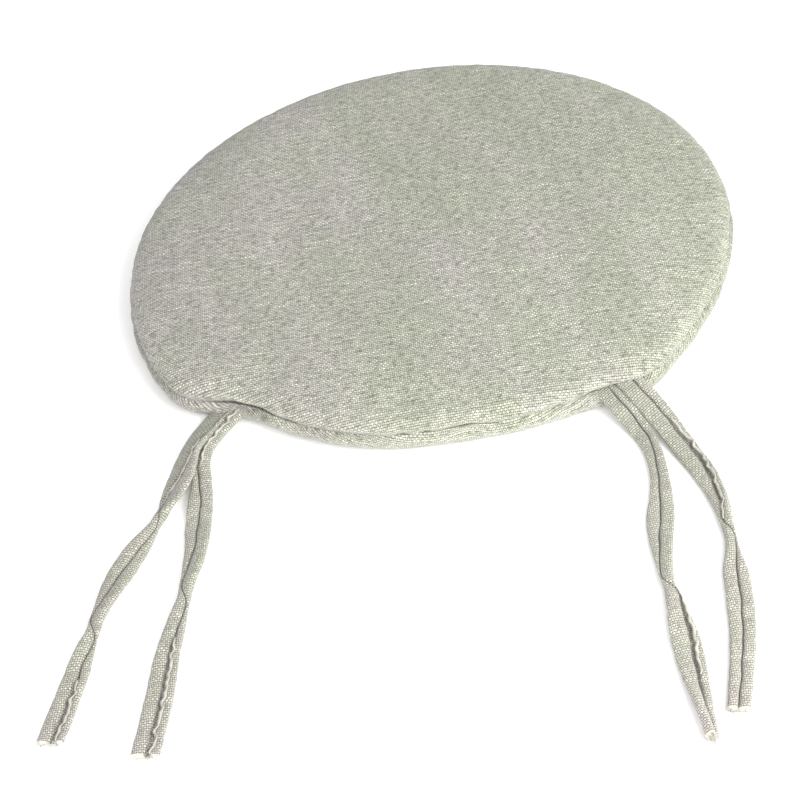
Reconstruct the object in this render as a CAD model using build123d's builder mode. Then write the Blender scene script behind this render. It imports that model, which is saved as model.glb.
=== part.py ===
"""Round chair seat pad: a foam disc in a two-panel fabric cover, with two pairs of fabric ties.

Millimetres, +Z up. The origin is at the middle of the underside, and the ties run towards -Y.
"""
from build123d import *
import os
from math import cos, pi, radians, sin, tan

os.makedirs("parts", exist_ok=True)

# Overall size
pad_width = 400.0
pad_height = 27.0
seam_height = 14.5

# Outline: a half circle at the back, then on each side a flatter side, a soft corner and the front
front_radius = 268.0
front_turn = 31.5
corner_radius = 65.0
corner_turn = 25.0

# Cover
fabric = 1.2
seam_allowance = 8.0
allowance_thickness = 1.0
top_edge_radius = 10.0
bottom_edge_radius = 6.0
seam_edge_radius = 1.5

# Foam, and the air gap round its edge
foam_gap = 0.3

# Sewing
thread = 0.8
thread_inset = 2.3
closing_half_width = 98.0
perimeter_half_width = 139.0
tack_length = 17.0
tack_width = 1.6
tack_height = 7.2

# Ties
tie_width = 15.0
tie_thickness = 3.2
tie_edge_radius = 1.5
tie_gap = 0.2
bend_share = 0.45

# Centre lines of the ties, each from inside the seam to its free end on the floor
lower_root = seam_height - (tie_thickness + tie_gap) / 2
upper_root = seam_height + (tie_thickness + tie_gap) / 2
left_outer_route = [
    (-118, -147, lower_root), (-127, -167, lower_root), (-138, -191, 2), (-146, -214, 2), (-152.5, -245, 2),
    (-165.5, -284, 2), (-175, -322, 2), (-181, -364, 2), (-188, -415, 2),
]
left_inner_route = [
    (-106, -152, upper_root), (-114.5, -172, upper_root), (-123, -193, 7.5), (-127, -216, 3), (-126, -245, 2),
    (-123.5, -274, 2), (-126, -312, 2), (-130.5, -352, 2), (-130, -391, 2), (-132.5, -427, 2),
]
right_inner_route = [
    (112, -151, lower_root), (122.5, -171, lower_root), (134, -192, 2), (143.5, -214, 2), (149.5, -241, 2),
    (148, -278, 2), (152, -318, 2), (160.5, -357, 2), (166.5, -395, 2), (173.5, -432, 2),
]
right_outer_route = [
    (121, -142, upper_root), (134.5, -162.5, upper_root), (149.5, -182, 8.5), (162, -205.5, 3), (173, -233, 2),
    (185, -267, 2), (190.5, -305, 2), (192.5, -343, 2), (191.5, -379, 2), (188, -413, 2),
]


def half_arcs():
    """Radius and turn in degrees of each arc, from the middle of the front to the middle of the back."""
    side_start = front_turn + corner_turn
    reach = front_radius * sin(radians(front_turn))
    reach += corner_radius * (sin(radians(side_start)) - sin(radians(front_turn)))
    side_radius = (pad_width / 2 - reach) / (1 - sin(radians(side_start)))
    return [
        (front_radius, front_turn),
        (corner_radius, corner_turn),
        (side_radius, 90 - side_start),
        (pad_width / 2, 90),
    ]


def outline_depth():
    """Distance from the front of the outline to its back."""
    depth = 0.0
    heading = 0.0
    for radius, turn in half_arcs():
        depth += radius * (cos(radians(heading)) - cos(radians(heading + turn)))
        heading += turn
    return depth


def draw_outline(inset=0.0):
    """Draw the pad's outline in the open sketch, drawn in by an inset."""
    add(outline.line)
    make_face()
    if inset:
        offset(amount=-inset, mode=Mode.REPLACE)


def bend_radii(route):
    """One radius for each corner of a route, as large as its two runs allow."""
    points = [Vector(*point) for point in route]
    radii = []
    for before, corner, after in zip(points, points[1:], points[2:]):
        run_in = corner - before
        run_out = after - corner
        shorter = min(run_in.length, run_out.length)
        radii.append(bend_share * shorter / tan(radians(run_in.get_angle(run_out)) / 2))
    return radii


def print_bends(name, route, path_length, volume):
    """The route's radii, its length, and its volume against section times length."""
    section = tie_width * tie_thickness - (4 - pi) * tie_edge_radius**2
    radii = ", ".join(f"{radius:.0f}" for radius in bend_radii(route))
    print(f"{name}: length {path_length:.1f}, volume share {volume / (section * path_length):.3f}, radii {radii}")


# Outline of the pad: the right half as arcs, and its mirror image
with BuildLine() as outline:
    start = Vector(0, -outline_depth() / 2)
    heading = Vector(1, 0)
    for radius, turn in half_arcs():
        arc = JernArc(start=start, tangent=heading, radius=radius, arc_size=turn)
        start = arc @ 1
        heading = arc % 1
    mirror(about=Plane.YZ)

# Bar tacks: a bar of stitches through each pair of ties where they lie in the seam
tacks = {}
for name, outer, inner in (
    ("left_bar_tack", left_outer_route, left_inner_route),
    ("right_bar_tack", right_outer_route, right_inner_route),
):
    outer_middle = (Vector(*outer[0]) + Vector(*outer[1])) / 2
    inner_middle = (Vector(*inner[0]) + Vector(*inner[1])) / 2
    middle = (outer_middle + inner_middle) / 2
    along = inner_middle - outer_middle
    tack_plane = Plane(
        origin=(middle.X, middle.Y, seam_height),
        x_dir=(along.X, along.Y, 0),
        z_dir=(0, 0, 1),
    )
    with BuildPart(tack_plane) as tack:
        Box(tack_length, tack_width, tack_height)
        fillet(tack.edges().filter_by(Axis.Z), tack_width / 3)
    tacks[name] = tack

# Ties: flat strips along their routes, with the strip's width level
ties = {}
for name, route in (
    ("left_outer_tie", left_outer_route),
    ("left_inner_tie", left_inner_route),
    ("right_inner_tie", right_inner_route),
    ("right_outer_tie", right_outer_route),
):
    exit_direction = Vector(*route[1]) - Vector(*route[0])
    across = exit_direction.cross(Vector(0, 0, 1))
    with BuildPart() as tie:
        with BuildLine() as centre_line:
            FilletPolyline(*route, radius=bend_radii(route))
        with BuildSketch(Plane(origin=route[0], x_dir=across, z_dir=exit_direction)):
            RectangleRounded(tie_width, tie_thickness, tie_edge_radius)
        sweep(path=centre_line.wires()[0])
        print_bends(name, route, centre_line.wires()[0].length, tie.part.volume)
        add([tack.part for tack in tacks.values()], mode=Mode.SUBTRACT)
    ties[name] = tie

# Seam threads: a ring between the seam allowances, in two runs that stop at the bar tacks
with BuildSketch() as ring_inside:
    draw_outline(thread_inset + thread / 2)

seam_threads = {}
for name, half_width, keep in (
    ("closing_seam_thread", closing_half_width, Mode.INTERSECT),
    ("perimeter_seam_thread", perimeter_half_width, Mode.SUBTRACT),
):
    with BuildPart() as seam_thread:
        with BuildSketch(Plane.XY.offset(seam_height - thread / 2)):
            draw_outline(thread_inset - thread / 2)
            add(ring_inside.sketch, mode=Mode.SUBTRACT)
            with Locations((0, -pad_width / 2)):
                Rectangle(2 * half_width, pad_width, mode=keep)
        extrude(amount=thread)
    seam_threads[name] = seam_thread

sewn_in = [piece.part for group in (ties, tacks, seam_threads) for piece in group.values()]

# Top panel: the top, the upper part of the side and a flat seam allowance turned inwards
with BuildPart() as top_hollow:
    with BuildSketch(Plane.XY.offset(seam_height + allowance_thickness)):
        draw_outline(fabric)
    extrude(amount=pad_height - fabric - seam_height - allowance_thickness)
    fillet(top_hollow.faces().sort_by(Axis.Z)[-1].edges(), top_edge_radius - fabric)
    with BuildSketch(Plane.XY.offset(seam_height)):
        draw_outline(fabric + seam_allowance)
    extrude(amount=allowance_thickness)

with BuildPart() as top_panel:
    with BuildSketch(Plane.XY.offset(seam_height)):
        draw_outline()
    extrude(amount=pad_height - seam_height)
    fillet(top_panel.faces().sort_by(Axis.Z)[-1].edges(), top_edge_radius)
    fillet(top_panel.faces().sort_by(Axis.Z)[0].edges(), seam_edge_radius)
    add([top_hollow.part, *sewn_in], mode=Mode.SUBTRACT)

# Bottom panel: the underside, the lower part of the side and its own seam allowance
with BuildPart() as bottom_hollow:
    with BuildSketch(Plane.XY.offset(fabric)):
        draw_outline(fabric)
    extrude(amount=seam_height - allowance_thickness - fabric)
    fillet(bottom_hollow.faces().sort_by(Axis.Z)[0].edges(), bottom_edge_radius - fabric)
    with BuildSketch(Plane.XY.offset(seam_height - allowance_thickness)):
        draw_outline(fabric + seam_allowance)
    extrude(amount=allowance_thickness)

with BuildPart() as bottom_panel:
    with BuildSketch(Plane.XY):
        draw_outline()
    extrude(amount=seam_height)
    fillet(bottom_panel.faces().sort_by(Axis.Z)[0].edges(), bottom_edge_radius)
    fillet(bottom_panel.faces().sort_by(Axis.Z)[-1].edges(), seam_edge_radius)
    add([bottom_hollow.part, *sewn_in], mode=Mode.SUBTRACT)

# Foam core: fills the cover, with a groove round its edge that takes the seam allowances
foam_inset = fabric + foam_gap
groove_height = 2 * (allowance_thickness + foam_gap)
with BuildSketch() as groove_floor:
    draw_outline(fabric + seam_allowance + foam_gap)

with BuildPart() as foam_core:
    with BuildSketch(Plane.XY.offset(fabric)):
        draw_outline(foam_inset)
    extrude(amount=pad_height - 2 * fabric)
    fillet(foam_core.faces().sort_by(Axis.Z)[-1].edges(), top_edge_radius - foam_inset)
    fillet(foam_core.faces().sort_by(Axis.Z)[0].edges(), bottom_edge_radius - foam_inset)
    with BuildSketch(Plane.XY.offset(seam_height - groove_height / 2)):
        draw_outline()
        add(groove_floor.sketch, mode=Mode.SUBTRACT)
    extrude(amount=groove_height, mode=Mode.SUBTRACT)
    add(sewn_in, mode=Mode.SUBTRACT)

panels = {"top_panel": top_panel, "bottom_panel": bottom_panel, "foam_core": foam_core}
for name, piece in {**panels, **ties, **tacks, **seam_threads}.items():
    piece.part.label = name
    export_step(piece.part, f"parts/{name}.step")
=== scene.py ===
"""The finished look of the chair seat pad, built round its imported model.

Metres, +Z up, the ties towards -Y. The cover, the foam, the ties and the stitches are made here as meshes,
and every material is made of nodes.
"""
import math

import bpy
import numpy as np
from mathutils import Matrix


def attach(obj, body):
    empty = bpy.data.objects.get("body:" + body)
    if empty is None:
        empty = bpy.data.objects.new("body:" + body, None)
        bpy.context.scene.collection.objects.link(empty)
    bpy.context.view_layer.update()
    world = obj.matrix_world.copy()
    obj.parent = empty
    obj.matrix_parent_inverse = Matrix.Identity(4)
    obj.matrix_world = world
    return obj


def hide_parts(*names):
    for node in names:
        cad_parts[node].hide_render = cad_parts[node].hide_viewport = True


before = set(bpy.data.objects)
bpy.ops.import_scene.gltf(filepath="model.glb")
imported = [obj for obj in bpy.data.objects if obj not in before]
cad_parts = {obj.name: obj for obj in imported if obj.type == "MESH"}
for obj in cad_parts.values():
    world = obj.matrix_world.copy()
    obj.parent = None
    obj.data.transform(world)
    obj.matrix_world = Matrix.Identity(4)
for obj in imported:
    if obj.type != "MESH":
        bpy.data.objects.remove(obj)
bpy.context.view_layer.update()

MM = 0.001
UP = np.array([0.0, 0.0, 1.0])

# ---- camera

view_target = (-0.0112, -0.1451, 0.0)
view_azimuth = 10.87
view_elevation = 40.67
view_roll = -10.84
view_distance = 1.521
view_lens = 110.1


def unit(vectors):
    return vectors / np.linalg.norm(vectors, axis=-1, keepdims=True)


def stand(thing, right, up, back, place):
    """Put a camera or a light at a place, with these three directions as its axes."""
    axes = np.eye(4)
    axes[:3] = np.stack([right, up, back, place], axis=1)
    thing.matrix_world = axes.T.tolist()


def make_camera():
    azimuth, elevation, roll = (math.radians(a) for a in (view_azimuth, view_elevation, view_roll))
    back = np.array([
        math.sin(azimuth) * math.cos(elevation),
        -math.cos(azimuth) * math.cos(elevation),
        math.sin(elevation),
    ])
    level = unit(np.cross(UP, back))
    upright = np.cross(back, level)
    right = level * math.cos(roll) + upright * math.sin(roll)
    up = upright * math.cos(roll) - level * math.sin(roll)
    camera = bpy.data.objects.new("camera", bpy.data.cameras.new("camera"))
    camera.data.lens = view_lens
    camera.data.clip_end = 100.0
    stand(camera, right, up, back, np.array(view_target) + back * view_distance)
    bpy.context.scene.collection.objects.link(camera)
    bpy.context.scene.camera = camera


make_camera()

# ---- small tools


def soften(values, reach):
    """A row of numbers averaged over the neighbours within reach."""
    kernel = np.hanning(2 * reach + 3)[1:-1]
    return np.convolve(np.pad(values, reach, "edge"), kernel / kernel.sum(), "valid")


def smooth_keys(keys, at):
    """Values at even distances, run between given (distance, value) keys and rounded where they meet."""
    distances, values = zip(*keys)
    return soften(np.interp(at, distances, values), 9)


def bell(x, centre, width):
    return np.exp(-(((x - centre) / width) ** 2))


def wave(x, lengths, seed):
    """A gentle irregular wave, from -1 to 1, made of a few sines."""
    draw = np.random.default_rng(seed)
    total = np.zeros_like(np.asarray(x, float))
    for length in lengths:
        total += np.sin(2 * math.pi * (np.asarray(x) / length + draw.random()))
    return total / len(lengths)


def new_mesh_object(name, points, faces, weave=None):
    """A mesh object; weave holds one (u, v) pair in metres for each face corner."""
    mesh = bpy.data.meshes.new(name)
    mesh.from_pydata([tuple(p) for p in points], [], [tuple(f) for f in faces])
    if weave is not None:
        layer = mesh.uv_layers.new(name="Weave")
        layer.data.foreach_set("uv", np.asarray(weave, np.float32).ravel())
    mesh.polygons.foreach_set("use_smooth", np.ones(len(mesh.polygons), bool))
    mesh.update()
    piece = bpy.data.objects.new(name, mesh)
    bpy.context.scene.collection.objects.link(piece)
    return piece


def read(items, field, width, kind=np.float32):
    """One field of a mesh's items, as an array with a row for each."""
    values = np.empty(len(items) * width, kind)
    items.foreach_get(field, values)
    return values.reshape(-1, width)


def mesh_points(mesh):
    return read(mesh.vertices, "co", 3).astype(float)


def ring_faces(index):
    """The quads and end caps of a closed tube; each row of index numbers one ring of its corners."""
    after = np.roll(index, -1, axis=1)
    quads = np.stack([index[:-1], index[1:], after[1:], after[:-1]], axis=-1).reshape(-1, 4)
    return [*quads, tuple(index[0]), tuple(index[-1][::-1])]


def round_rings(line, radius, side, other, sides):
    """Rings of corners round the points of a line, with one radius for all or one for each."""
    corner = np.radians(np.arange(sides) * 360 / sides)[:, None]
    spread = np.cos(corner) * side[:, None] + np.sin(corner) * other[:, None]
    return line[:, None] + np.reshape(radius, (-1, 1, 1)) * spread


def mark(piece, name, values):
    """Store one number for each vertex, for the materials to read."""
    layer = piece.data.attributes.new(name, "FLOAT", "POINT")
    layer.data.foreach_set("value", np.asarray(values, np.float32))


# ---- ties

# Heights of the ties' first points, inside the pad.
lower_root = 0.0128
upper_root = 0.0162
left_root = 0.006

# Each tie: how long its loose threads are, its route from inside the pad to its free end, then keys in
# millimetres along it: roll in degrees, width, the groove's place across the strip, and the groove's width.
TIES = {
    "left_outer_tie": {
        "fray": 0.9,
        "route": [
            (-0.1135, -0.136, left_root), (-0.129, -0.165, left_root), (-0.1385, -0.190, 0.009),
            (-0.1395, -0.216, 0.010), (-0.1475, -0.245, 0.007), (-0.168, -0.284, 0.002),
            (-0.175, -0.322, 0.002), (-0.181, -0.364, 0.002), (-0.188, -0.415, 0.002),
        ],
        "roll": [
            (0, 5), (35, 20), (60, 31), (102, 33), (114, 55), (121, -22), (150, 0), (182, 10),
            (200, 40), (214, -30), (240, 0), (292, 4),
        ],
        "width": [
            (0, 14), (35, 17.5), (60, 19.5), (92, 22.5), (105, 19), (117, 5), (128, 8.5), (140, 14.5),
            (160, 17), (178, 15), (206, 7), (240, 15), (292, 16.5),
        ],
        "groove": [
            (0, 5.5), (52, 5.5), (64, 4), (85, -0.5), (100, -4.5), (112, -6.5), (117, 6.5), (136, 2.5),
            (150, 0.5), (180, -0.5), (200, -6), (207, -6.5), (211, 6.5), (232, 2), (292, 0.5),
        ],
        "gap": [(0, 0.4), (50, 0.5), (60, 2.4), (104, 2.6), (114, 0.4), (240, 0.4), (258, 3), (292, 3.2)],
    },
    "left_inner_tie": {
        "fray": 1.0,
        "route": [
            (-0.104, -0.141, left_root), (-0.123, -0.174, 0.0078), (-0.1305, -0.193, 0.0075),
            (-0.1275, -0.216, 0.003), (-0.126, -0.245, 0.002), (-0.1235, -0.274, 0.002),
            (-0.126, -0.312, 0.002), (-0.1305, -0.352, 0.002), (-0.130, -0.391, 0.002),
            (-0.1325, -0.427, 0.002),
        ],
        "roll": [
            (0, 0), (25, -10), (60, -24), (92, -6), (120, 4), (150, 18), (168, 35), (180, -25),
            (200, -4), (294, 2),
        ],
        "width": [
            (0, 8.5), (30, 8.5), (60, 10.5), (98, 15.5), (122, 16.5), (150, 13), (174, 7.3),
            (200, 12.5), (242, 16.5), (294, 16.5),
        ],
        "groove": [
            (0, -6), (60, -6), (92, 0.3), (130, -0.5), (155, -3), (172, -6.5), (176, 6.5), (190, 3),
            (215, 0.8), (294, 0.2),
        ],
        "gap": [
            (0, 7.5), (52, 6), (74, 0.4), (192, 0.4), (212, 2), (237, 3.2), (262, 2.4), (277, 3.4),
            (294, 3.2),
        ],
    },
    "right_inner_tie": {
        "fray": 1.9,
        "route": [
            (0.112, -0.151, lower_root), (0.1235, -0.171, lower_root), (0.1385, -0.190, 0.003),
            (0.1465, -0.213, 0.002), (0.150, -0.241, 0.002), (0.148, -0.278, 0.002),
            (0.152, -0.318, 0.002), (0.1605, -0.357, 0.002), (0.1665, -0.395, 0.002),
            (0.1735, -0.432, 0.002),
        ],
        "roll": [
            (0, 5), (30, 14), (70, 16), (95, 20), (120, 2), (150, 8), (175, 35), (188, -30), (215, -8),
            (250, -5), (294, -60),
        ],
        "width": [
            (0, 14), (40, 14), (70, 11), (94, 11.5), (122, 16.8), (138, 15.5), (158, 11), (181, 6.2),
            (218, 16.5), (240, 16), (294, 8),
        ],
        "groove": [
            (0, 1.5), (60, 2), (95, -1), (125, 0), (150, -1.5), (178, -6.5), (183, 6.5), (205, 3),
            (235, 1.5), (294, 0),
        ],
        "gap": [(0, 0.4), (183, 0.4), (198, 3.4), (235, 2.6), (260, 0.8), (294, 1.5)],
    },
    "right_outer_tie": {
        "fray": 0.9,
        "route": [
            (0.121, -0.142, upper_root), (0.1345, -0.1625, upper_root), (0.1495, -0.182, 0.0085),
            (0.1625, -0.2055, 0.003), (0.1765, -0.233, 0.002), (0.1865, -0.267, 0.002),
            (0.1895, -0.305, 0.002), (0.1925, -0.343, 0.002), (0.1915, -0.379, 0.002),
            (0.188, -0.413, 0.002),
        ],
        "roll": [(0, 0), (50, 0), (90, 4), (120, 15), (148, 40), (162, -30), (185, -4), (290, -2)],
        "width": [
            (0, 15), (40, 17), (70, 15.5), (105, 14), (130, 11.5), (152, 7.5), (166, 6), (175, 9.5),
            (188, 15), (215, 15.6), (250, 14), (290, 12.8),
        ],
        "groove": [
            (0, 1.5), (60, 2), (95, 3), (120, 0.5), (138, 0.5), (152, -6.5), (157, 6.5), (172, 2.5),
            (190, 0.5), (290, -0.5),
        ],
        "gap": [(0, 0.3), (55, 0.5), (75, 3.2), (148, 3.4), (154, 0.4), (290, 0.4)],
    },
}

tie_height = 4.0 * MM
tie_floor = 1.1 * MM  # thickness of the cloth under the groove
tie_step = 1.1 * MM
nominal_width = 16.0 * MM
plain_root, root_ramp = 10.0, 10.0  # millimetres with no groove, then millimetres over which it opens
ground_gap = 0.15 * MM
raw_lip = 0.2 * MM  # how far the folded edge stands before the groove's place


def route_line(name, route):
    """Points along the smooth NURBS line whose control points are the route."""
    curve = bpy.data.curves.new(name, "CURVE")
    curve.dimensions = "3D"
    curve.resolution_u = 32
    spline = curve.splines.new("NURBS")
    spline.points.add(len(route) - 1)
    for control, place in zip(spline.points, route):
        control.co = (*place, 1.0)
    spline.order_u = 3
    spline.use_endpoint_u = True
    holder = bpy.data.objects.new(name, curve)
    line = bpy.data.meshes.new_from_object(holder)
    points = mesh_points(line)
    bpy.data.objects.remove(holder)
    bpy.data.curves.remove(curve)
    bpy.data.meshes.remove(line)
    return points


def even_steps(points, step):
    """The line's points, evenly spaced, and each one's distance from the start."""
    runs = np.linalg.norm(np.diff(points, axis=0), axis=1)
    along = np.concatenate([[0.0], np.cumsum(runs)])
    count = max(2, round(along[-1] / step)) + 1
    at = np.linspace(0, along[-1], count)
    return np.stack([np.interp(at, along, points[:, k]) for k in range(3)], axis=1), at


def quarter(count, start, end):
    """A quarter turn, a little squarer than a circle's: shares sideways and upwards."""
    angles = np.radians(np.linspace(start, end, count))
    return np.abs(np.cos(angles)) ** 0.72, np.abs(np.sin(angles)) ** 0.8


def tie_section(width, height, left_bank, right_bank, floor):
    """The closed outline of a folded strip: two rounded lobes on a flat back, with a groove between them.

    Every argument has one number for each station, and each result has one row for each.
    """
    width, height, floor, left_bank, right_bank = (
        np.asarray(a)[:, None] for a in (width, height, floor, left_bank, right_bank)
    )
    xs, ys, lips = [], [], []
    waist = 0.45 * height

    def lobe(bank, edge):
        crest = bank + 0.46 * (edge - bank)
        flat, rise = quarter(7, 0, 90)
        xs.append(crest - (crest - bank) * flat)
        ys.append(floor + (height - floor) * rise)
        lips.append(np.broadcast_to(np.linspace(1, 0, 7) ** 0.8, xs[-1].shape))
        flat, rise = quarter(7, 90, 0)
        xs.append((crest + (edge - crest) * flat)[:, 1:])
        ys.append((waist + (height - waist) * rise)[:, 1:])
        lips.append(np.zeros_like(xs[-1]))
        turn = np.radians(np.linspace(0, 90, 5))[1:]
        inset = edge - np.sign(edge) * waist
        xs.append(inset + np.sign(edge) * waist * np.cos(turn))
        ys.append(waist - waist * np.sin(turn))
        lips.append(np.zeros_like(xs[-1]))
        return inset

    right_inset = lobe(right_bank, width / 2)
    across = np.linspace(1, -1, 8)[1:-1]
    xs.append(right_inset * across)
    ys.append(0.05 * height * (1 - across**2) + np.zeros_like(xs[-1]))
    lips.append(np.zeros_like(xs[-1]))
    first = len(xs)
    lobe(left_bank, -width / 2)
    for group in (xs, ys, lips):
        group[first:] = [part[:, ::-1] for part in reversed(group[first:])]
    lips[first:] = [np.zeros_like(part) for part in lips[first:]]
    middle = np.linspace(0, 1, 4)[1:-1]
    xs.append(left_bank + (right_bank - left_bank) * middle)
    ys.append(floor + np.zeros_like(xs[-1]))
    lips.append(np.zeros_like(xs[-1]))
    return np.hstack(xs), np.hstack(ys), np.hstack(lips)


def make_tie(name, facts, seed):
    """A folded fabric strip along its route, rolled and pinched as its keys say, lying on the ground."""
    centre, along = even_steps(route_line(name, facts["route"]), tie_step)
    mm = along / MM
    width = smooth_keys(facts["width"], mm) * MM
    roll = np.radians(smooth_keys(facts["roll"], mm))
    roll += np.radians(3) * wave(mm, (38, 61), seed)
    groove = smooth_keys(facts["groove"], mm) * MM * width / nominal_width
    gap = smooth_keys(facts["gap"], mm) * MM * np.minimum(1, width / nominal_width)
    gap *= 1 + 0.4 * wave(mm, (7, 11, 17), seed + 1)
    groove += 0.35 * MM * wave(mm, (19, 31), seed + 2)
    pinch = np.clip(1 - width / nominal_width, 0, 1)
    height = tie_height * (1 + 0.9 * pinch) * (1 + 0.05 * wave(mm, (13, 23), seed + 3))
    open_share = np.clip((mm - plain_root) / root_ramp, 0, 1)
    open_share *= np.clip(1.2 - 1.8 * pinch, 0, 1)
    floor = height * (0.98 + (tie_floor / tie_height - 0.98) * open_share)
    width *= 1 + 0.025 * wave(mm, (9, 15, 27), seed + 4)
    frayed = np.clip((gap / MM - 0.7) / 1.5, 0, 1)
    bank = groove - raw_lip
    x, y, lip = tie_section(width, height, bank, bank + np.maximum(gap, 0.3 * MM), floor)

    tangent = unit(np.gradient(centre, axis=0))
    upright = unit(UP - tangent * tangent[:, 2:])
    side = np.cross(upright, tangent)
    across = side * np.cos(roll)[:, None] + upright * np.sin(roll)[:, None]
    outward = upright * np.cos(roll)[:, None] - side * np.sin(roll)[:, None]
    y_middle = y - height[:, None] / 2
    ring = centre[:, None] + x[..., None] * across[:, None] + y_middle[..., None] * outward[:, None]

    lowest = ring[..., 2].min(axis=1)
    lift = np.maximum(0, ground_gap - lowest)
    lift = np.maximum(lift, soften(lift, 7))
    ring[..., 2] += lift[:, None]
    centre = centre + np.outer(lift, UP)
    return ring, centre, along, lip * frayed[:, None], (across, outward)


def tubes(lines, radius, sides=5):
    """Points and faces of one thin tube for each line, tapering a little to its end."""
    points, faces = [], []
    for line in lines:
        tangent = unit(np.gradient(line, axis=0))
        side = unit(np.cross(tangent, [0.31, 0.17, 0.94]))
        taper = radius * np.linspace(1, 0.6, len(line))
        rings = round_rings(line, taper, side, np.cross(tangent, side), sides)
        index = sum(len(p) for p in points) + np.arange(len(line) * sides).reshape(-1, sides)
        points.append(rings.reshape(-1, 3))
        faces.extend(ring_faces(index[:, ::-1]))
    return np.vstack(points), faces


fringe_thread = 0.42 * MM
ribbon_half_width, ribbon_half_thickness = 0.95 * MM, 0.22 * MM
shortest_ribbon = 8  # stations
lip_corner = 4  # the corner of a tie's section that the ribbon lies along


def raw_edge(ring, frayed, axes, seed):
    """The cloth's cut edge where it shows beside the groove: a thin pale wavy ribbon for each stretch."""
    across, outward = axes
    stations = np.flatnonzero(frayed > 0.3)
    points, faces = [], []
    for run in np.split(stations, np.flatnonzero(np.diff(stations) > 1) + 1):
        if len(run) < shortest_ribbon:
            continue
        mm = run * tie_step / MM
        sway = wave(mm, (9, 14, 23), seed)[:, None]
        tilt = np.radians(14 + 34 * wave(mm, (7, 12, 19), seed + 1))[:, None]
        taper = np.sin(np.linspace(0.12, math.pi - 0.12, len(run)))[:, None] ** 0.35
        wide = (across[run] * np.cos(tilt) + outward[run] * np.sin(tilt)) * ribbon_half_width * taper
        thick = (outward[run] * np.cos(tilt) - across[run] * np.sin(tilt)) * ribbon_half_thickness
        middle = ring[run, lip_corner] + across[run] * (-0.45 + 0.5 * sway) * MM + outward[run] * 0.7 * MM
        corners = [middle + wide * a + thick * b for a, b in ((1, 1), (-1, 1), (-1, -1), (1, -1))]
        index = sum(len(p) for p in points) + np.arange(len(run) * 4).reshape(-1, 4)
        points.append(np.stack(corners, axis=1).reshape(-1, 3))
        faces.extend(ring_faces(index))
    return points, faces


def end_threads(ring, fray, draw):
    """Loose threads at a tie's cut end, one from each corner of its last ring."""
    end, before = ring[-1], ring[-4]
    outward = unit((end - before).mean(axis=0))
    middle = end.mean(axis=0)
    share = np.linspace(0, 1, 6)[:, None]
    lines = []
    for corner in end:
        start = middle + (corner - middle) * draw.uniform(0.45, 0.93) - outward * 0.8 * MM
        heading = outward + draw.normal(0, 0.34, 3) * [1, 1, 0.6]
        bend = draw.normal(0, 0.25, 3) * [1, 1, 0.5]
        reach = draw.uniform(1.2, 3.4) * fray * MM
        line = start + heading * share * reach + bend * share**2 * reach
        line[:, 2] = np.maximum(line[:, 2], 0.25 * MM)
        lines.append(line)
    return lines


def edge_threads(ring, lip, draw):
    """Short threads that stand up along a tie's raw edge."""
    share = np.linspace(0, 1, 4)[:, None]
    lines = []
    for station in np.flatnonzero(draw.random(len(ring)) < 0.6 * lip[:, 1]):
        start = ring[station, 3]
        rise = unit(start - ring[station].mean(axis=0))
        across = unit(ring[station, 0] - ring[station, -3])
        heading = 0.55 * rise - 0.6 * across + draw.normal(0, 0.35, 3)
        lines.append(start - heading * 0.2 * MM + heading * share * draw.uniform(0.5, 1.1) * MM)
    return lines


def make_fringe(name, ring, lip, axes, fray, seed):
    """The loose threads and the raw edge of one tie, as one piece."""
    draw = np.random.default_rng(seed)
    lines = end_threads(ring, fray, draw) + edge_threads(ring, lip, draw)
    points, faces = tubes(lines, fringe_thread / 2)
    ribbon_points, ribbon_faces = raw_edge(ring, lip[:, 0], axes, seed + 1)
    faces += [tuple(np.array(face) + len(points)) for face in ribbon_faces]
    piece = new_mesh_object(name, np.vstack([points, *ribbon_points]), faces)
    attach(piece, "root")
    return piece


def make_strip(name, ring, along, lip):
    """One tie's cloth as a mesh, with the weave laid along it and round it."""
    stations, corners = ring.shape[:2]
    spans = np.linalg.norm(np.diff(ring, axis=1), axis=2)
    round_it = np.hstack([np.zeros((stations, 1)), np.cumsum(spans, axis=1)])
    round_it -= round_it[:, corners // 2, None]
    beyond = np.hstack([round_it[:, 1:], round_it[:, -1:] + 0.5 * MM])
    u = np.stack([round_it[:-1], round_it[1:], beyond[1:], beyond[:-1]], axis=-1)
    v = np.stack([along[:-1], along[1:], along[1:], along[:-1]], axis=-1)
    weave = np.stack([u, np.broadcast_to(v[:, None], u.shape)], axis=-1).reshape(-1, 2)
    cap_weave = np.zeros((2 * corners, 2))
    faces = ring_faces(np.arange(stations * corners).reshape(stations, corners))
    piece = new_mesh_object(name, ring.reshape(-1, 3), faces, np.vstack([weave, cap_weave]))
    mark(piece, "raw", lip.ravel())
    return piece


strips, fringes = [], []
for number, (name, facts) in enumerate(TIES.items()):
    ring, centre, along, lip, axes = make_tie(name, facts, 10 * number)
    strip = make_strip(name + "_strip", ring, along, lip)
    fringe = make_fringe(name + "_fringe", ring, lip, axes, facts["fray"], 900 + number)
    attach(strip, "root")
    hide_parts(name)
    strips.append(strip)
    fringes.append(fringe)

# ---- cover

pad_centre = np.array([0.0, -0.0045])
seam_height = 14.5 * MM
half_width = 200.0 * MM
front_radius, front_turn = 268.0 * MM, 31.5
corner_radius, corner_turn = 65.0 * MM, 25.0
side_radius, side_turn = 239.2 * MM, 33.5
front_y = -195.5 * MM

# How far the sewn edge leaves the cut shape: degrees from the front, degrees wide, millimetres outwards.
EDGE_SHIFTS = [(-34, 9, -12), (-22, 7, -3), (43, 5, 3.5), (21, 7, 1.3), (-1, 8, 2.4)]
# Where the ties come out between the two covers: degrees from the front, degrees wide.
TIE_MOUTHS = {"left": (-35.5, 3.4), "right": (38.0, 4.2)}
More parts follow.
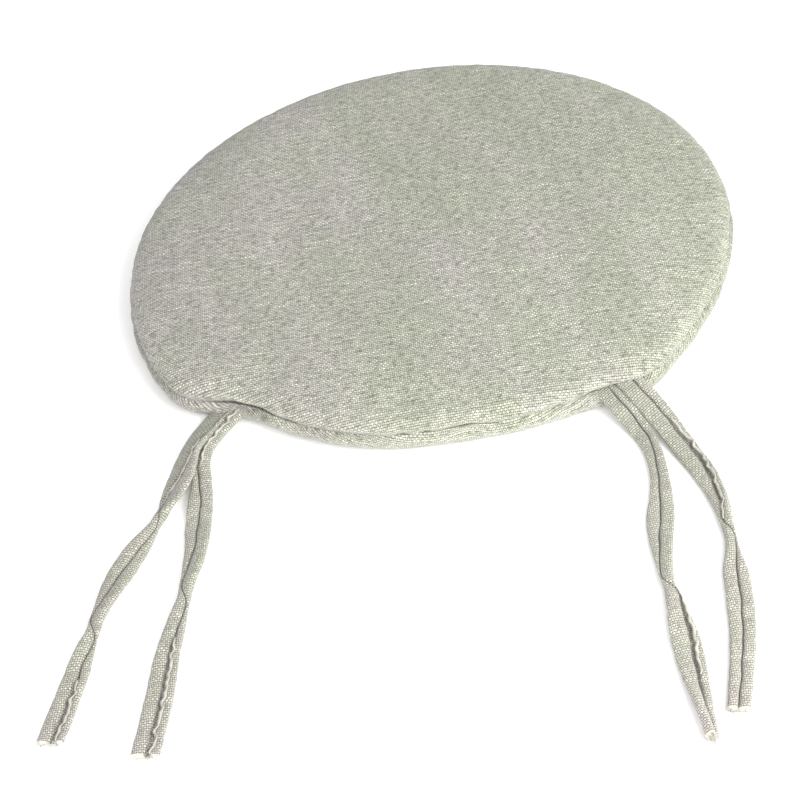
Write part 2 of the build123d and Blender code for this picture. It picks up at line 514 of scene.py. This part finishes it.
# Deep folds where the top cover is caught in the seam: degrees from the front, degrees wide, millimetres.
SEAM_FOLDS = [(-38, 3.0, 2.4), (-31, 3.0, 2.4), (-24.5, 2.0, 1.4), (-1.5, 1.0, 1.3),
              (3.2, 0.8, 1.3), (9.5, 3.0, 1.8), (27.5, 0.9, 1.4), (34.0, 1.2, 1.6)]
# Creases in the top cover over the seam: degrees from the front, degrees wide, millimetres above it, depth.
OVER_FOLDS = [(36, 3.0, 3.6, 1.2)]
# Where the seam hangs lower or higher: degrees from the front, degrees wide, millimetres up.
SEAM_SHIFTS = [(-35, 6, -2.2), (8, 14, 0.8)]
# Creases on top: middle x and y, heading in degrees, half length, half width, rise, in millimetres.
TOP_CREASES = [(60, 60, -48, 70, 9, 0.9), (-70, -40, -52, 60, 8, 0.8), (-30, 90, -35, 50, 11, 0.6),
               (100, -60, -62, 55, 9, 0.7), (20, -110, -28, 60, 8, 0.7), (-120, 40, -70, 45, 9, 0.6)]

top_rise, top_reach = 10.8 * MM, 17.0 * MM
bottom_rise, bottom_reach = 14.3 * MM, 9.5 * MM
# Distances from the seam, along the cloth, of the mesh's rings; the grid fills what the last one leaves.
RING_DISTANCES = np.array([1.6, 3.6, 6.2, 9.5, 13.5, 18.5, 24.5]) * MM
grid_cells = 56
cover_thickness = 1.0 * MM
allowance = 7.0 * MM


def cut_outline():
    """Radius of the cut shape about the pad's centre, for angles from the front, as two matched arrays."""
    points, heading, place = [], 0.0, np.array([0.0, front_y])
    for radius, turn in [(front_radius, front_turn), (corner_radius, corner_turn), (side_radius, side_turn),
                         (half_width, 90.0)]:
        headings = heading + np.radians(np.linspace(0, turn, 60))
        hub = place + radius * np.array([-math.sin(heading), math.cos(heading)])
        arc = hub + radius * np.stack([np.sin(headings), -np.cos(headings)], axis=1)
        points.extend(arc[:-1])
        place, heading = arc[-1], headings[-1]
    offset = np.array([*points, place]) - pad_centre
    angle = np.degrees(np.arctan2(offset[:, 0], -offset[:, 1]))
    radius = np.linalg.norm(offset, axis=1)
    return np.concatenate([-angle[::-1], angle[1:]]), np.concatenate([radius[::-1], radius[1:]])


outline_angles, outline_radii = cut_outline()


def edge_radius(degrees):
    """Radius of the sewn edge about the pad's centre."""
    radius = np.interp(degrees, outline_angles, outline_radii)
    for centre, spread, shift in EDGE_SHIFTS:
        radius = radius + shift * MM * bell(degrees, centre, spread)
    return radius


def placed(degrees, radius, height):
    """Points at these angles from the front, at a distance from the pad's centre."""
    turn = np.radians(degrees)
    return np.stack([
        pad_centre[0] + radius * np.sin(turn),
        pad_centre[1] - radius * np.cos(turn),
        height,
    ], axis=1)


def around(points):
    """Degrees from the front, distance from the centre, and outward direction of each point."""
    offset = points[:, :2] - pad_centre
    distance = np.linalg.norm(offset, axis=1)
    direction = offset / np.maximum(distance, 1e-9)[:, None]
    return np.degrees(np.arctan2(offset[:, 0], -offset[:, 1])), distance, direction


class EdgeProfile:
    """The rounded edge of one cover: inward reach and rise at a distance from the seam along the cloth."""

    def __init__(self, reach, rise):
        turn = np.radians(np.linspace(0, 90, 200))
        inward, up = reach * (1 - np.cos(turn) ** 0.85), rise * np.sin(turn) ** 0.85
        run = np.concatenate([[0], np.cumsum(np.hypot(np.diff(inward), np.diff(up)))])
        self.run, self.inward, self.up, self.reach = run, inward, up, reach

    def at(self, distance):
        beyond = np.maximum(0, distance - self.run[-1])
        return np.interp(distance, self.run, self.inward) + beyond, np.interp(distance, self.run, self.up)

    def slack(self, distance):
        """How much further out the flat cloth reaches than the sewn cover does."""
        inward, _ = self.at(distance)
        return self.run[-1] - self.reach - distance + inward


top_profile = EdgeProfile(top_reach, top_rise)
bottom_profile = EdgeProfile(bottom_reach, bottom_rise)


def disc_grid(cells):
    """A square grid bent into a disc: radius share and degrees from the front, faces and rim."""
    steps = np.linspace(-1, 1, cells + 1)
    a, b = (m.ravel() for m in np.meshgrid(steps, steps, indexing="ij"))
    wide = np.abs(a) > np.abs(b)
    share = np.where(wide, a, b)
    other = np.where(wide, b, a)
    turn = math.pi / 4 * np.divide(other, share, out=np.zeros_like(a), where=share != 0)
    x = np.where(wide, share * np.cos(turn), share * np.sin(turn))
    y = np.where(wide, share * np.sin(turn), share * np.cos(turn))
    index = np.arange((cells + 1) ** 2).reshape(cells + 1, cells + 1)
    faces = np.stack([index[:-1, :-1], index[1:, :-1], index[1:, 1:], index[:-1, 1:]], axis=-1)
    faces = faces.reshape(-1, 4)
    rim = np.concatenate([index[:-1, 0], index[-1, :-1], index[:0:-1, -1], index[0, :0:-1]])
    return np.hypot(x, y), np.degrees(np.arctan2(x, -y)), faces, rim


def cover_cage():
    """Both covers as one closed cage of quads; gives points, faces and signed distance from the seam."""
    share, degrees, faces, rim = disc_grid(grid_cells)
    rim_degrees = degrees[rim]
    points, distances, all_faces = [], [], []

    def place(at_degrees, distance, profile, sign):
        inward, up = profile.at(distance)
        return placed(at_degrees, edge_radius(at_degrees) - inward, seam_height + sign * up)

    seam_ring = np.arange(len(rim))
    points.append(place(rim_degrees, np.zeros(len(rim)), top_profile, 1))
    distances.append(np.zeros(len(rim)))
    count = len(rim)
    for profile, sign in ((top_profile, 1), (bottom_profile, -1)):
        ring = seam_ring
        rings = []
        for distance in RING_DISTANCES[:-1]:
            points.append(place(rim_degrees, np.full(len(rim), distance), profile, sign))
            distances.append(np.full(len(rim), sign * distance))
            rings.append(np.arange(count, count + len(rim)))
            count += len(rim)
        reach = edge_radius(degrees) + profile.run[-1] - profile.reach
        from_seam = reach - share * (reach - RING_DISTANCES[-1])
        points.append(place(degrees, from_seam, profile, sign))
        distances.append(sign * from_seam)
        rings.append(count + rim)
        side_faces = [faces + count]
        count += len(share)
        for following in rings:
            quads = np.stack([ring, np.roll(ring, -1), np.roll(following, -1), following], axis=1)
            side_faces.append(quads)
            ring = following
        side_faces = np.vstack(side_faces)
        all_faces.append(side_faces if sign > 0 else side_faces[:, ::-1])
    return np.vstack(points), np.vstack(all_faces), np.concatenate(distances)


def run_modifiers(piece):
    """Replace the piece's mesh with its modified one."""
    graph = bpy.context.evaluated_depsgraph_get()
    done = bpy.data.meshes.new_from_object(piece.evaluated_get(graph), preserve_all_data_layers=True,
                                           depsgraph=graph)
    piece.modifiers.clear()
    old = piece.data
    piece.data = done
    bpy.data.meshes.remove(old)


cloth_frames = 20
rest_height = 1.2 * MM
swell_cap = 1.3 * MM


def swell(piece, held, cap):
    """Inflate the piece with cloth simulation; held points stay, and no point moves further than cap."""
    start = mesh_points(piece.data)
    group = piece.vertex_groups.new(name="held")
    group.add(np.flatnonzero(held).tolist(), 1.0, "REPLACE")
    cloth = piece.modifiers.new("cloth", "CLOTH")
    settings = cloth.settings
    settings.quality = 6
    settings.mass = 0.3
    settings.tension_stiffness = settings.compression_stiffness = 12
    settings.bending_stiffness = 0.6
    settings.vertex_group_mass = "held"
    settings.use_pressure = True
    settings.uniform_pressure_force = 4.0
    settings.shrink_min = -0.012
    settings.effector_weights.gravity = 0.0
    cloth.collision_settings.use_collision = False
    cloth.point_cache.frame_start, cloth.point_cache.frame_end = 1, cloth_frames
    scene = bpy.context.scene
    for step in range(1, cloth_frames + 1):
        scene.frame_set(step)
    run_modifiers(piece)
    moved = mesh_points(piece.data) - start
    size = np.maximum(np.linalg.norm(moved, axis=1), 1e-12)[:, None]
    settled = start + moved / size * cap * np.tanh(size / cap)
    piece.data.vertices.foreach_set("co", settled.ravel())
    piece.vertex_groups.clear()
    scene.frame_set(1)


cage_points, cage_faces, cage_distance = cover_cage()
cover = new_mesh_object("cover_cage", cage_points, cage_faces)
mark(cover, "from_seam", cage_distance)
at_seam = np.abs(cage_distance) < 0.1 * MM
on_ground = (cage_distance < 0) & (cage_points[:, 2] < rest_height)
swell(cover, at_seam | on_ground, swell_cap)
smooth = cover.modifiers.new("smooth", "SUBSURF")
smooth.levels = smooth.render_levels = 2
run_modifiers(cover)


def round_edge(degrees):
    """Millimetres run round the edge at an angle from the front."""
    return np.radians(degrees) * half_width / MM


def mouth_share(degrees):
    """1 in the middle of a tie mouth, falling to 0 outside it."""
    return sum(bell(degrees, at, spread) for at, spread in TIE_MOUTHS.values())


def seam_depth(degrees):
    """How far the seam is drawn in behind the cover's edge, in millimetres."""
    return 3.4 + 0.7 * wave(round_edge(degrees), (37, 61, 83), 3) + 2.2 * mouth_share(degrees)


def seam_sway(degrees):
    """How far the seam wanders up and down round the whole edge, in millimetres."""
    run = round_edge(degrees)
    return 0.5 * wave(run, (43, 71, 107), 8) + 0.25 * wave(run, (17, 23), 9)


def seam_shift(degrees):
    """How much higher the seam is sewn at one place than at another, in millimetres."""
    return sum(rise * bell(degrees, at, spread) for at, spread, rise in SEAM_SHIFTS)


def sew_edge(points, normals, from_seam):
    """The seam's groove, its puckers and folds, and the mouths where the ties come out."""
    degrees, _, direction = around(points)
    run = round_edge(degrees)
    off = np.abs(from_seam) / MM
    above = from_seam > 0
    inward = seam_depth(degrees) * np.exp(-((off / 2.5) ** 2))
    for at, spread, fold in SEAM_FOLDS:
        lean = at + 0.05 * off
        inward += fold * bell(degrees, lean, spread) * np.exp(-((off / 5.0) ** 2)) * above
    for at, spread, away, fold in OVER_FOLDS:
        inward += fold * bell(degrees, at, spread) * np.exp(-(((off - away) / 1.2) ** 2)) * above
    fade = np.exp(-off / 9.0) * (1 - np.exp(-off / 1.5))
    puckers = 0.62 * wave(run + 0.12 * off, (9.5, 13.3, 17.9, 24.1), 5) * np.where(above, 0.9, 0.35) * fade
    moved = points.copy()
    moved[:, :2] -= direction * (inward * MM)[:, None]
    moved += normals * (puckers * MM)[:, None]
    lift = seam_sway(degrees) * np.exp(-((off / 9) ** 2)) + seam_shift(degrees) * np.exp(-((off / 7) ** 2))
    part = 0.9 * mouth_share(degrees) * np.exp(-((off / 4.5) ** 2)) * np.where(above, 1, -1)
    moved[:, 2] += (lift + part) * MM
    return moved


def settle_top(points, from_seam):
    """The faint broad hollows and creases of slack cloth over foam, fading out at the edge."""
    x, y = points[:, 0] / MM, points[:, 1] / MM
    inside = np.clip((from_seam / MM - 8) / 30, 0, 1)
    height = 0.45 * np.sin(x / 47 + 1.3 * np.sin(y / 71)) * np.cos(y / 58 + 0.7)
    for place_x, place_y, heading, length, width, rise in TOP_CREASES:
        turn = math.radians(heading)
        along = (x - place_x) * math.cos(turn) + (y - place_y) * math.sin(turn)
        across = -(x - place_x) * math.sin(turn) + (y - place_y) * math.cos(turn) + 6 * np.sin(along / 41)
        height += rise * bell(across, 0, width) * bell(along, 0, length)
    moved = points.copy()
    moved[:, 2] += inside * height * MM
    return moved


cover_points = mesh_points(cover.data)
cover_normals = read(cover.data.vertices, "normal", 3).astype(float)
cover_distance = read(cover.data.attributes["from_seam"].data, "value", 1)[:, 0].astype(float)
cover_faces = read(cover.data.polygons, "vertices", 4, np.int32)
bpy.data.objects.remove(cover)

face_side = cover_distance[cover_faces].mean(axis=1) > 0
on_seam = np.abs(cover_distance) < 1e-7


def cover_piece(name, above):
    """One cover: its skin out to the seam, the allowance turned in behind it, and the cloth's thickness."""
    profile = top_profile if above else bottom_profile
    faces = cover_faces[face_side == above]
    used = np.unique(faces)
    renumber = np.full(len(cover_points), -1)
    renumber[used] = np.arange(len(used))
    faces = renumber[faces]
    distance = cover_distance[used]
    sewn_from = np.where(on_seam[used], (1 if above else -1) * 1e-9, distance)
    points = sew_edge(cover_points[used], cover_normals[used], sewn_from)
    if above:
        points = settle_top(points, distance)
    points[:, 2] = np.maximum(points[:, 2], 0.05 * MM)
    degrees, _, direction = around(points)
    _, radius, _ = around(cover_points[used])
    drawn_in = np.sum((cover_points[used] - points)[:, :2] * direction, axis=1)
    flat = direction * (radius + profile.slack(np.abs(distance)) + drawn_in)[:, None]

    rim = np.flatnonzero(on_seam[used])
    rim = rim[np.argsort(degrees[rim])]
    ring = rim
    for inset in allowance * np.array([0.3, 0.65, 1.0]):
        turned = points[rim].copy()
        turned[:, :2] -= direction[rim] * inset
        turned[:, 2] += (1 if above else -1) * min(inset, 2 * MM) * 0.35
        following = len(points) + np.arange(len(rim))
        points = np.vstack([points, turned])
        beyond = (radius + drawn_in + profile.slack(0.0) + inset)[rim, None]
        flat = np.vstack([flat, direction[rim] * beyond])
        quads = np.stack([ring, following, np.roll(following, -1), np.roll(ring, -1)], axis=1)
        faces = np.vstack([faces, quads if above else quads[:, ::-1]])
        ring = following
    piece = new_mesh_object(name, points, faces, flat[faces.ravel()])
    shell = piece.modifiers.new("thickness", "SOLIDIFY")
    shell.thickness = cover_thickness
    shell.offset = -1
    run_modifiers(piece)
    return piece


top_cover = cover_piece("top_cover", True)
bottom_cover = cover_piece("bottom_cover", False)
for piece, node in ((top_cover, "top_panel"), (bottom_cover, "bottom_panel")):
    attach(piece, "root")
    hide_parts(node)

# ---- foam

foam_gap = 2.6 * MM


def make_foam():
    """The foam block: the cover's own shape, drawn in so that it lies just under the cloth."""
    off = np.abs(cover_distance) / MM
    degrees, _, direction = around(cover_points)
    drawn_in = (12 + 8 * mouth_share(degrees)) * np.exp(-((off / 7) ** 2)) * MM
    points = cover_points - cover_normals * foam_gap
    points[:, :2] -= direction * drawn_in[:, None]
    foam = new_mesh_object("foam_block", points, cover_faces)
    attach(foam, "root")
    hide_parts("foam_core")
    return foam


foam = make_foam()

# ---- stitches

stitch_steps = 6  # points along one stitch
thread_sides = 6


def thread_piece(name, node, line, radius, side, other):
    """A closed round thread along a line, as one piece."""
    rings = round_rings(line, radius, side, other, thread_sides)
    index = np.arange(len(line) * thread_sides).reshape(-1, thread_sides)
    piece = new_mesh_object(name, rings.reshape(-1, 3), ring_faces(index))
    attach(piece, "root")
    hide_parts(node)
    return piece


def make_stitches(name, node, start, end, stitch):
    """A row of short thread stitches just behind the seam, between two angles measured from the front."""
    degrees = np.linspace(start, end, 4000)
    from_front = (degrees + 180) % 360 - 180
    radius = edge_radius(from_front) - seam_depth(from_front) * MM - behind_seam
    height = seam_height + (seam_sway(from_front) + seam_shift(from_front)) * MM
    line, _ = even_steps(placed(degrees, radius, height), stitch / stitch_steps)
    side = np.cross(unit(np.gradient(line, axis=0)), UP)
    share = (np.arange(len(line)) % stitch_steps) / (stitch_steps - 1)
    thickness = seam_thread / 2 * (0.25 + 0.75 * np.sin(math.pi * share) ** 0.5)
    line[:, 2] -= seam_thread * 0.35 * (1 - np.sin(math.pi * share))
    return thread_piece(name, node, line, thickness, side, np.broadcast_to(UP, side.shape))


def make_tack(name, node, degrees):
    """A bar tack: thread wound to and fro through both ties and the seam allowances."""
    turn = math.radians(degrees)
    outward = np.array([math.sin(turn), -math.cos(turn), 0.0])
    level = np.array([math.cos(turn), math.sin(turn), 0.0])
    reach = float(edge_radius(np.array([degrees]))[0]) - tack_inset
    middle = np.array([*pad_centre, seam_height]) + outward * reach
    share = np.linspace(0, 1, tack_turns * 12 + 1)
    swing = 2 * math.pi * tack_turns * share
    line = (
        middle
        + np.outer((share - 0.5) * tack_width, level)
        + np.outer(np.cos(swing) * tack_thread * 0.8, outward)
        + np.outer(np.sin(swing) * tack_height / 2, UP)
    )
    tangent = unit(np.gradient(line, axis=0))
    side = unit(np.cross(tangent, level))
    return thread_piece(name, node, line, tack_thread / 2, side, np.cross(side, tangent))


seam_thread = 0.7 * MM
behind_seam = 3.0 * MM
tack_inset, tack_width, tack_height = 14 * MM, 16 * MM, 7.5 * MM
tack_thread, tack_turns = 0.55 * MM, 20

threads = [
    make_tack(f"{side}_tack", f"{side}_bar_tack", degrees) for side, (degrees, _) in TIE_MOUTHS.items()
]
threads.append(make_stitches("perimeter_stitches", "perimeter_seam_thread", 31, 329, 2.8 * MM))
threads.append(make_stitches("closing_stitches", "closing_seam_thread", -28, 29, 3.4 * MM))

# ---- materials


class Nodes:
    """A material's node tree, with short calls for the nodes used here."""

    def __init__(self, name, roughness):
        self.material = bpy.data.materials.new(name)
        self.material.use_nodes = True
        self.tree = self.material.node_tree
        self.shader = self.tree.nodes["Principled BSDF"]
        self.shader.inputs["Roughness"].default_value = roughness
        self.shader.inputs["Specular IOR Level"].default_value = 0.25

    def feed(self, socket, value):
        if isinstance(value, bpy.types.NodeSocket):
            self.tree.links.new(value, socket)
        else:
            socket.default_value = value

    def math(self, operation, a, b=0.0, c=0.0):
        """A sum on up to three sockets or numbers."""
        node = self.tree.nodes.new("ShaderNodeMath")
        node.operation = operation
        for socket, value in zip(node.inputs, (a, b, c)):
            self.feed(socket, value)
        return node.outputs[0]

    def clamp_range(self, value, low, high, to_low=0.0, to_high=1.0):
        """The value's place between low and high, held inside them and carried to a new range."""
        node = self.tree.nodes.new("ShaderNodeMapRange")
        for socket, entry in zip(node.inputs, (value, low, high, to_low, to_high)):
            self.feed(socket, entry)
        return node.outputs[0]

    def attribute(self, name):
        node = self.tree.nodes.new("ShaderNodeAttribute")
        node.attribute_name = name
        return node

    def weave_map(self):
        node = self.tree.nodes.new("ShaderNodeUVMap")
        node.uv_map = "Weave"
        return node.outputs[0]

    def object_place(self):
        return self.tree.nodes.new("ShaderNodeTexCoord").outputs["Object"]

    def split(self, vector):
        node = self.tree.nodes.new("ShaderNodeSeparateXYZ")
        self.feed(node.inputs[0], vector)
        return node.outputs[0], node.outputs[1], node.outputs[2]

    def join(self, x, y, z=0.0):
        node = self.tree.nodes.new("ShaderNodeCombineXYZ")
        for socket, value in zip(node.inputs, (x, y, z)):
            self.feed(socket, value)
        return node.outputs[0]

    def turn(self, vector, degrees):
        node = self.tree.nodes.new("ShaderNodeVectorRotate")
        node.rotation_type = "Z_AXIS"
        self.feed(node.inputs["Vector"], vector)
        node.inputs["Angle"].default_value = math.radians(degrees)
        return node.outputs[0]

    def noise(self, vector, scale, detail=2.0, roughness=0.5):
        node = self.tree.nodes.new("ShaderNodeTexNoise")
        self.feed(node.inputs["Vector"], vector)
        node.inputs["Scale"].default_value = scale
        node.inputs["Detail"].default_value = detail
        node.inputs["Roughness"].default_value = roughness
        return node.outputs[0]

    def mix(self, share, a, b, blend="MIX"):
        node = self.tree.nodes.new("ShaderNodeMix")
        node.data_type = "RGBA"
        node.blend_type = blend
        for socket, value in ((node.inputs[0], share), (node.inputs[6], a), (node.inputs[7], b)):
            self.feed(socket, value)
        return node.outputs[2]

    def grey(self, value):
        return self.join(value, value, value)

    def bump(self, height, distance):
        node = self.tree.nodes.new("ShaderNodeBump")
        node.inputs["Distance"].default_value = distance
        self.feed(node.inputs["Height"], height)
        self.feed(self.shader.inputs["Normal"], node.outputs[0])


def plain_weave(n, place, pitch_across, pitch_along):
    """Over-and-under threads: the surface's height, which thread shows, and the place and cell of each."""
    x, y, _ = n.split(place)
    wobble = n.noise(place, 70, 2.0)
    x = n.math("ADD", n.math("DIVIDE", x, pitch_across), n.math("MULTIPLY", wobble, 1.1))
    y = n.math("ADD", n.math("DIVIDE", y, pitch_along), n.math("MULTIPLY", wobble, -0.9))
    column, row = n.math("FLOOR", x), n.math("FLOOR", y)
    over = n.math("SINE", n.math("MULTIPLY", n.math("ADD", y, column), math.pi))
    under = n.math("SINE", n.math("MULTIPLY", n.math("ADD", x, row), math.pi))
    under = n.math("MULTIPLY", under, -1.0)
    round_x = n.math("ABSOLUTE", n.math("SINE", n.math("MULTIPLY", x, math.pi)))
    round_y = n.math("ABSOLUTE", n.math("SINE", n.math("MULTIPLY", y, math.pi)))
    warp = n.math("MULTIPLY_ADD", over, 0.5, n.math("MULTIPLY", round_x, 0.75))
    weft = n.math("MULTIPLY_ADD", under, 0.5, n.math("MULTIPLY", round_y, 0.85))
    height = n.math("MAXIMUM", warp, weft)
    weft_shows = n.clamp_range(n.math("SUBTRACT", weft, warp), -0.08, 0.08)
    return height, weft_shows, (x, y, column, row)


# Degrees that the painted shading of the slack cloth's faint drag creases lies at, turned from its threads.
PAINTED_CREASE_SHADE_HEADING = -12
COVER_TONE = {"green": (0.318, 0.331, 0.260, 1), "pink": (0.326, 0.312, 0.286, 1)}
TIE_TONE = {"green": (0.318, 0.326, 0.264, 1), "pink": (0.338, 0.311, 0.290, 1)}
RAW_TONE = (0.55, 0.53, 0.47, 1)


def stretched(n, x, y, across, along, layer=0.0):
    """A place for a noise that runs longer one way than the other; layer picks another sample of it."""
    return n.join(n.math("MULTIPLY", x, across), n.math("MULTIPLY", y, along), layer)


def thread_light(n, weft_shows, cell):
    """How light each thread is: uneven along itself and from the next, with a pale slub here and there."""
    x, y, column, row = cell
    warp_tone = n.noise(stretched(n, column, y, 7.31, 0.16), 1.0, 3.0, 0.7)
    weft_tone = n.noise(stretched(n, x, row, 0.13, 5.17, 4.0), 1.0, 3.0, 0.7)
    slub = n.clamp_range(n.noise(stretched(n, x, row, 0.085, 3.37, 9.0), 1.0, 1.0), 0.54, 0.68)
    thread = n.split(n.mix(weft_shows, n.grey(warp_tone), n.grey(weft_tone)))[0]
    light = n.math("MULTIPLY", n.clamp_range(thread, 0.25, 0.75, 0.62, 1.32),
                   n.clamp_range(weft_shows, 0.0, 1.0, 0.88, 1.1))
    return n.math("MULTIPLY_ADD", n.math("MULTIPLY", slub, weft_shows), 0.45, light)


def linen_fabric(name, grain, pitch, tone, fleck_low, crest, raw=None):
    """Undyed slubby plain weave: uneven pale threads with painted shade on their sides and in the gaps
    between them, flecks, painted shading of faint drag creases, and a faint drift of tint.

    The grain is turned by so many degrees, pitch holds the threads' spacing across and along, a fleck
    darkens the cloth to fleck_low, and the painted shade of the weave's relief stops above crest, where a
    thread is full bright. raw names a mark for frayed lips.
    """
    n = Nodes(name, 0.92)
    n.shader.inputs["Sheen Weight"].default_value = 0.25
    n.shader.inputs["Sheen Roughness"].default_value = 0.6
    place = n.turn(n.weave_map(), grain)
    height, weft_shows, cell = plain_weave(n, place, *pitch)
    x, y, _, _ = cell
    light = thread_light(n, weft_shows, cell)
    # Painted shade: the colour darkens where the weave's relief is low, on the threads' rounded sides and in
    # the gaps between them.
    gap = n.clamp_range(height, 0.28, crest, 0.0, 1.08)
    fleck = n.noise(stretched(n, x, y, 0.26, 0.85, 2.0), 1.0, 2.0, 0.8)
    fleck = n.clamp_range(fleck, 0.45, 0.68, 1.12, fleck_low)
    light = n.math("MULTIPLY", n.math("MULTIPLY", light, gap), fleck)

    # Painted shading of faint drag creases: long streaks painted a little lighter and darker, with the tint
    # drifting along them.
    drawn_x, drawn_y, _ = n.split(n.turn(place, PAINTED_CREASE_SHADE_HEADING))
    crease_shade_and_tint_bands = n.noise(stretched(n, drawn_x, drawn_y, 1.0, 0.2), 24, 2.0)
    light = n.math("MULTIPLY", light, n.clamp_range(crease_shade_and_tint_bands, 0.3, 0.7, 0.91, 1.09))
    drift = n.math("ADD", n.noise(place, 14, 2.0), n.math("MULTIPLY", n.split(place)[0], -1.2))
    drift = n.math("MULTIPLY_ADD", n.math("SUBTRACT", crease_shade_and_tint_bands, 0.5), 0.9, drift)
    tint = n.mix(n.clamp_range(drift, 0.36, 0.78), tone["green"], tone["pink"])
    colour = n.mix(1.0, tint, n.grey(light), "MULTIPLY")
    if raw is not None:
        ragged = n.clamp_range(n.noise(place, 1800, 2.0), 0.3, 0.6, 0.5, 1.0)
        colour = n.mix(n.math("MULTIPLY", n.attribute(raw).outputs["Fac"], ragged), colour, RAW_TONE)
    n.feed(n.shader.inputs["Base Color"], colour)
    fuzz = n.noise(place, 5200, 1.0)
    n.bump(n.math("MULTIPLY_ADD", fuzz, 0.35, height), weave_relief)
    return n.material


weave_relief = 0.22 * MM
cover_fabric = linen_fabric("cover_fabric", grain=-9, pitch=(1.30 * MM, 1.75 * MM), tone=COVER_TONE,
                            fleck_low=0.47, crest=0.84)
tie_fabric = linen_fabric("tie_fabric", grain=12, pitch=(1.28 * MM, 1.66 * MM), tone=TIE_TONE,
                          fleck_low=0.85, crest=0.98, raw="raw")


def foam_material():
    """Open-cell foam: off-white, pitted with fine pores."""
    n = Nodes("foam", 0.95)
    place = n.object_place()
    pores = n.tree.nodes.new("ShaderNodeTexVoronoi")
    n.feed(pores.inputs["Vector"], place)
    pores.inputs["Scale"].default_value = 900
    shade = n.clamp_range(pores.outputs["Distance"], 0.1, 0.6)
    patch = n.noise(place, 40)
    body = n.mix(patch, (0.78, 0.74, 0.62, 1), (0.72, 0.69, 0.60, 1))
    pore = (0.5, 0.46, 0.36, 1)
    n.feed(n.shader.inputs["Base Color"], n.mix(shade, pore, body))
    n.bump(shade, 0.4 * MM)
    return n.material


def thread_material(name, dark, pale):
    """Twisted thread: pale, with slanting plies and painted shade in the grooves between them."""
    n = Nodes(name, 0.7)
    place = n.object_place()
    x, y, z = n.split(place)
    slant = n.math("ADD", n.math("ADD", x, y), n.math("MULTIPLY", z, 1.4))
    ply = n.math("MULTIPLY_ADD", n.math("SINE", n.math("MULTIPLY", slant, 9000)), 0.5, 0.5)
    fibre = n.noise(place, 3000)
    body = n.mix(fibre, dark, pale)
    # Painted shade: the colour is darker in the grooves between the plies.
    between = n.mix(1.0, body, (0.7, 0.7, 0.7, 1), "MULTIPLY")
    n.feed(n.shader.inputs["Base Color"], n.mix(ply, between, body))
    n.bump(ply, 0.12 * MM)
    return n.material


loose_thread = thread_material("loose_thread", (0.50, 0.48, 0.43, 1), (0.62, 0.60, 0.55, 1))
sewing_thread = thread_material("sewing_thread", (0.50, 0.49, 0.43, 1), (0.62, 0.60, 0.54, 1))
for pieces, material in (
    ((top_cover, bottom_cover), cover_fabric),
    (strips, tie_fabric),
    (fringes, loose_thread),
    ((foam,), foam_material()),
    (threads, sewing_thread),
):
    for piece in pieces:
        piece.data.materials.clear()
        piece.data.materials.append(material)

# ---- floor and lights

floor_reach = 30.0
floor_glow = 0.16


def make_floor():
    """A plain pale floor that runs past every view's edge."""
    mesh = bpy.data.meshes.new("floor")
    corners = [(x * floor_reach, y * floor_reach, 0) for x, y in ((-1, -1), (1, -1), (1, 1), (-1, 1))]
    mesh.from_pydata(corners, [], [(0, 1, 2, 3)])
    floor = bpy.data.objects.new("floor", mesh)
    bpy.context.scene.collection.objects.link(floor)
    n = Nodes("floor", 0.9)
    n.shader.inputs["Base Color"].default_value = (0.9, 0.9, 0.9, 1)
    n.shader.inputs["Emission Color"].default_value = (1.0, 1.0, 1.0, 1)
    n.shader.inputs["Emission Strength"].default_value = floor_glow
    mesh.materials.append(n.material)


def area_light(name, place, target, size, watts, colour):
    """A square light at a place, facing its target."""
    light = bpy.data.objects.new(name, bpy.data.lights.new(name, "AREA"))
    light.data.size = size
    light.data.energy = watts
    light.data.color = colour
    back = unit(np.array(place) - np.array(target))
    right = unit(np.cross(UP, back))
    stand(light, right, np.cross(back, right), back, place)
    bpy.context.scene.collection.objects.link(light)


bright_side = (0.82, -0.48, 0.31)


def make_world(dim, bright):
    """Plain white surroundings, brighter on the right and towards the front than on the left."""
    world = bpy.data.worlds.new("studio")
    world.use_nodes = True
    tree = world.node_tree
    place = tree.nodes.new("ShaderNodeTexCoord").outputs["Generated"]
    toward = tree.nodes.new("ShaderNodeVectorMath")
    toward.operation = "DOT_PRODUCT"
    toward.inputs[1].default_value = bright_side
    tree.links.new(place, toward.inputs[0])
    strength = tree.nodes.new("ShaderNodeMapRange")
    tree.links.new(toward.outputs["Value"], strength.inputs[0])
    for socket, value in zip(strength.inputs[1:5], (-1.0, 1.0, dim, bright)):
        socket.default_value = value
    background = tree.nodes["Background"]
    background.inputs["Color"].default_value = (1.0, 1.0, 1.0, 1)
    tree.links.new(strength.outputs[0], background.inputs["Strength"])
    bpy.context.scene.world = world


make_floor()
make_world(dim=0.10, bright=1.58)
area_light("window", (0.70, -0.72, 0.62), (0, -0.1, 0), size=0.7, watts=15.5, colour=(1.0, 1.0, 0.96))
area_light("fill", (-0.5, -1.3, 0.22), (-0.1, -0.15, 0), size=0.5, watts=10, colour=(1.0, 0.96, 0.98))
bpy.context.scene.view_settings.view_transform = "Standard"
